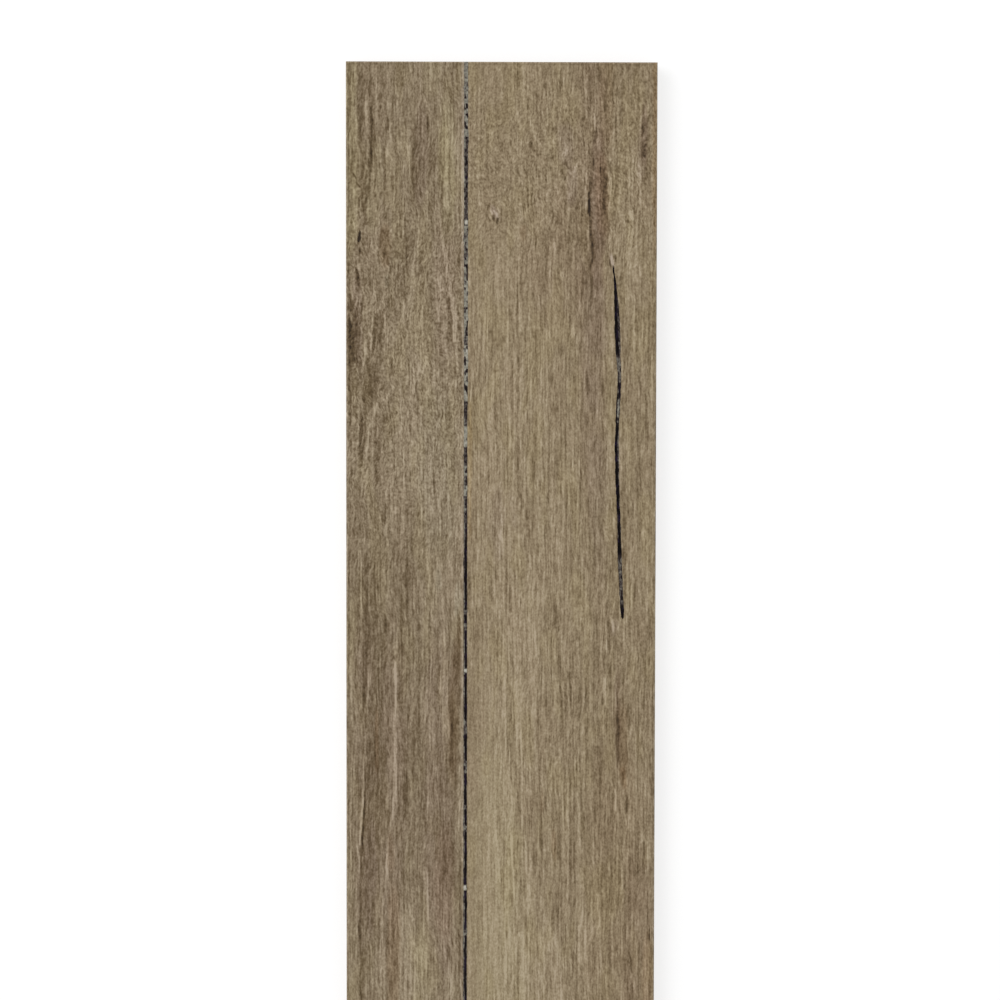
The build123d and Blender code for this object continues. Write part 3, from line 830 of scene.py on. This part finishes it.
# Seam filler
# Black putty, run into the joint between the two strips and planed off. It has shrunk a little
# below the face. Sanding dust has stuck in it near the head end, with bare spots of black between.

putty_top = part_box("seam_filler")[1].z / MM
putty_lap = 0.03  # the putty reaches this far into the wood beside it
# Stretches of the seam that hold dust: from, to, and how pale the dust is, where 1 is white
dusty = [
    (-5, 46, 0.62), (46, 97, 0.34), (96, 99, 1), (99, 103, 0.66), (102, 172, 0.46), (108, 115, 0.66),
    (119, 128.5, 0.68), (131, 168, 0.70), (172.5, 182, 0.82), (182, 207, 0.74), (205, 290, 0.34),
    (222, 235, 0.76), (246, 253, 0.64), (258, 265, 0.72), (272, 277.5, 0.5), (334, 338, 0.42),
    (343, 347.5, 0.5), (371, 373.6, 1), (403, 412, 0.44), (428, 436, 0.48), (455, 458, 0.42),
    (468, 472, 0.55), (505, 508.4, 1), (533, 536.5, 0.58),
]
faint = (0.48, 0.32)  # the thin skin of dust elsewhere, towards the putty's left and right edges
clean_below = 12.6  # the putty's sides are clean up to this height
dusty_above = 13.4


def putty(name):
    """Black putty with a dull skin, and pale dust where the mesh is painted with it."""
    material, shader, (x, y, z) = new_material(name)
    painted = x.node("ShaderNodeAttribute", {"attribute_name": "dust"}, {}, output=2)
    dust = painted * z.rise(clean_below, dusty_above)
    crumbs = noise((x, y, z), 1.5, 1.7, 2.2, detail=3)
    pale = (dust + crumbs * 0.9 * dust.rise(0, 0.4)).ramp([
        (0.0, (0.003, 0.002, 0.002)), (0.25, (0.022, 0.016, 0.015)), (0.42, (0.085, 0.070, 0.062)),
        (0.62, (0.205, 0.192, 0.158)), (0.85, (0.36, 0.34, 0.275)), (1.0, (0.50, 0.47, 0.41)),
    ])
    sheen = noise((x, y, z), 2.5, 6, 6.1)
    # A painted sheen: where the dust is thin, the black lifts a little towards blue violet
    colour = pale.mixed((0.015, 0.009, 0.022, 1), sheen.rise(0.0, 0.12) * dust.rise(0.3, 0))
    shader.inputs["Specular IOR Level"].default_value = 0.04
    roughness = 0.62 + sheen * 0.5 + dust * 0.25
    finish_shader(shader, colour, roughness, crumbs + sheen * 0.6, relief=0.25)
    return material


along = stops((0, 1.2, 0.3), (1.2, detailed_length, 0.7), (detailed_length, board_length - 1.2, 3),
              (board_length - 1.2, board_length, 0.3))
start = seam_left - seam_chips(along, 31) - putty_lap
end = seam_right + right_wear(along) + seam_chips(along, 61) + putty_lap
x = start[:, None] + np.linspace(0, 1, 10) * (end - start)[:, None]
y = np.repeat(along[:, None], x.shape[1], 1)
# The skin leaves a black core along the seam, and near the head end it is thicker and full of gaps
core = (seam_left + seam_right + right_wear(y)) / 2 + 0.15 + wobble(y, 7, 75) * 0.3
skin = np.where(x < core, *faint) + wobble(y, 4, 76) * 0.16 + 0.12 * (y < 92)
bare = hills(x, y, 1.2, 1.6, 79).clip(0, 1) * (y < 225) * 0.9
skin *= smooth((np.abs(x - core) - 0.25) / 0.5) * (1 - bare)
# The dusty stretches, the white ones of them round grains, with gaps in the less pale ones
heap = np.zeros_like(x)
for first, last, paleness in dusty:
    inside = smooth((y - first) / 1.4 + 0.5) * smooth((last - y) / 1.4 + 0.5)
    if paleness == 1:
        inside = inside * smooth(2.1 - np.abs(x - core) / 0.7)
    heap = np.maximum(heap, inside * paleness)
gaps = smooth((hills(x, y, 1.3, 2.0, 77) * 0.9 + hills(x, y, 3, 6, 78) * 0.3 - 0.25) * 4)
heap *= 1 - gaps * smooth((0.9 - heap) * 8) * 0.85
# On the rest of the board a little dust has stuck in chance places
later = np.clip(hills(x, y, 50, 9, 71) - 0.62, 0, 1) * 2.4 * smooth((y - detailed_length) / 40)
dust = np.clip(np.maximum(np.maximum(heap, later), skin), 0, 1)
uneven = hills(x, y, 1.2, 2.2, 73) * 0.08 + hills(x, y, 50, 9, 74) * 0.07
z = putty_top + np.minimum(uneven + dust * 0.08 - 0.05, 0.1)
# At both ends the putty slopes down just below the wood's bevel
z = np.minimum(z, face_height - bevel - 0.02 + np.minimum(y, board_length - y))
seam_putty = slab("seam_putty", x, y, z, glue_line, dust=dust)
seam_putty.data.materials.append(putty("dusty_black_putty"))
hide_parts("seam_filler")
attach(seam_putty, "root")

# Crack filler
# The same putty, pressed into the crack with a knife. It keeps the crack's own outline, and grey dust
# from the sanding has caught in it, most of all where the crack narrows.

# Places on the filler that hold dust: from, to, their share of the way across, and how pale
crack_dust = [
    (139, 184, 0.60, 1.1, 0.40), (176, 198, -0.1, 1.1, 0.52), (196, 205, -0.1, 0.45, 0.50),
    (202, 223, 0.22, 0.80, 0.62), (221, 264, 0.70, 1.1, 0.46), (262, 292, 0.82, 1.1, 0.42),
    (272, 294, -0.1, 0.24, 0.42), (299, 335, -0.1, 1.1, 0.44),
]
along = stops((crack_y[0], crack_y[-1], 0.8))
rim_left, rim_right = crack_rims(along)[:2]
start, end = rim_left - putty_lap, rim_right + putty_lap
x = start[:, None] + np.linspace(0, 1, 9) * (end - start)[:, None]
y = np.repeat(along[:, None], x.shape[1], 1)
share = np.repeat(np.linspace(0, 1, 9)[None], len(along), 0) + wobble(y, 5, 84) * 0.12
dust = smooth((np.abs(share - 0.5) - 0.28) * 5) * 0.24
for first, last, low_share, high_share, paleness in crack_dust:
    inside = smooth((y - first) / 5) * smooth((last - y) / 5)
    inside *= smooth((share - low_share) * 6 + 0.5) * smooth((high_share - share) * 6 + 0.5)
    dust = np.maximum(dust, inside * paleness)
dust *= 1 - smooth((hills(x, y, 1.2, 2.2, 83) - 0.35) * 4) * 0.6
uneven = hills(x, y, 0.9, 2.4, 81) * 0.14 + hills(x, y, 50, 12, 82) * 0.1
z = putty_top + np.minimum(uneven + dust * 0.15 - 0.12, 0.15)
crack_putty = slab("crack_putty", x, y, z, crack_floor, dust=dust)
crack_putty.data.materials.append(putty("rough_black_putty"))
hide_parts("crack_filler")
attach(crack_putty, "root")

# Plywood base
# One sheet of birch plywood, 11 mm thick, that carries the oak: nine plies glued crosswise in turn.
# It is sawn to size, and a groove for a loose tongue is milled in all four edges.

base_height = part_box("plywood_base")[1].z / MM
ply_count = 9
material, shader, (x, y, z) = new_material("birch_plywood")
ply = z * (ply_count / base_height)
layer = ply.math("FLOOR")
glue = ply.math("FRACT").math("SUBTRACT", 0.5).math("ABSOLUTE").rise(0.42, 0.48)
crosswise = layer.math("MODULO", 2.0)
# Each ply comes from another part of the log, so its grain is moved sideways and along
shifted = (x + layer * 37.3, y + layer * 91.7, z)
grain_along = noise(shifted, 1.1, 24, 1.9)
turned = (shifted[1], shifted[0], z)
grain_across = noise(turned, 1.1, 24, 6.6)
grain = grain_along + (grain_across - grain_along) * crosswise
clouds = noise((x, y, z), 30, 70, 3.3)
tone = grain * 1.3 + clouds * 0.8 + 0.5
colour = tone.ramp([
    (0.0, (0.36, 0.235, 0.125)), (0.35, (0.52, 0.365, 0.215)), (0.65, (0.62, 0.46, 0.29)),
    (1.0, (0.72, 0.565, 0.385)),
])
# A ply that runs towards an edge shows its dark end grain there, with a glue line on both sides
sideways, endways = facing(x, 0), facing(x, 1)
cut_end = endways.rise(0.6, 0.9) * (1 - crosswise) + sideways.rise(0.6, 0.9) * crosswise
colour = colour.tinted((0.66, 0.58, 0.50, 1), cut_end)
upright = sideways.math("MAXIMUM", endways).rise(0.3, 0.6)
colour = colour.tinted((0.45, 0.33, 0.24, 1), glue * upright)
finish_shader(shader, colour, 0.66 + grain * 0.3, grain - glue * 0.4, relief=0.1)
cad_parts["plywood_base"].data.materials[0] = material

# Camera, light and floor
# The board lies on a white studio floor that keeps its shadow. A white dome and one broad soft lamp,
# beyond the head end and to the left, light it. The camera looks down from almost straight above.


def watched(tree):
    """1 for rays that the camera sees, straight or through glass or a reflection, and 0 for others."""
    rays = tree.nodes.new("ShaderNodeLightPath").outputs
    return Flow(rays["Is Camera Ray"]).math("MAXIMUM", Flow(rays["Is Glossy Ray"])).math(
        "MAXIMUM", Flow(rays["Is Transmission Ray"]))


floor_glow = (0.72, 0.72, 0.72, 1)  # what the floor adds of its own towards white, where it is seen
floor_material = bpy.data.materials.new("studio_floor")
floor_material.use_nodes = True
floor_nodes = floor_material.node_tree.nodes
floor_shader = floor_nodes["Principled BSDF"]
floor_shader.inputs["Base Color"].default_value = (0.35, 0.35, 0.35, 1)
floor_shader.inputs["Roughness"].default_value = 0.9
floor_shader.inputs["Specular IOR Level"].default_value = 0
floor_shader.inputs["Emission Strength"].default_value = 1
seen = watched(floor_material.node_tree)
no_glow = (0, 0, 0, 1)
glow = seen.node("ShaderNodeMix", {"data_type": "RGBA"}, {0: seen, 6: no_glow, 7: floor_glow}, output=2)
floor_material.node_tree.links.new(glow.socket, floor_shader.inputs["Emission Color"])
floor_mesh = bpy.data.meshes.new("studio_floor")
floor_reach = 60  # metres to each side
corners = [(-floor_reach, -floor_reach, 0), (floor_reach, -floor_reach, 0), (floor_reach, floor_reach, 0),
           (-floor_reach, floor_reach, 0)]
floor_mesh.from_pydata(corners, [], [(0, 1, 2, 3)])
floor_mesh.materials.append(floor_material)
floor = bpy.data.objects.new("studio_floor", floor_mesh)
bpy.context.scene.collection.objects.link(floor)

world = bpy.data.worlds.new("studio")
bpy.context.scene.world = world
world.use_nodes = True
backdrop = world.node_tree.nodes["Background"]
backdrop.inputs["Color"].default_value = (1, 1, 1, 1)
dome_light = 0.62
strength = watched(world.node_tree) * (1 - dome_light) + dome_light
world.node_tree.links.new(strength.socket, backdrop.inputs["Strength"])

lamp_data = bpy.data.lights.new("softbox", "AREA")
lamp_data.shape = "SQUARE"
lamp_data.size = 2.4  # metres, as in the lamp's place
lamp_data.energy = 64
lamp = bpy.data.objects.new("softbox", lamp_data)
lamp.location = (-2.2, 2.0, 2.6)
lamp.rotation_euler = (-lamp.location.normalized()).to_track_quat("-Z", "Y").to_euler()
bpy.context.scene.collection.objects.link(lamp)

camera_data = bpy.data.cameras.new("camera")
camera_data.lens = 100
camera = bpy.data.objects.new("camera", camera_data)
camera_from_middle = -30.8
camera_from_head = 192.4
camera_height = 1716.6
camera_lean = (-2.519, -1.008, 0.089)  # degrees from straight down, about X, Y and Z
camera.location = (camera_from_middle * MM, (board_head - camera_from_head) * MM, camera_height * MM)
camera.rotation_euler = [math.radians(angle) for angle in camera_lean]
bpy.context.scene.collection.objects.link(camera)
bpy.context.scene.camera = camera
bpy.context.scene.view_settings.view_transform = "Standard"
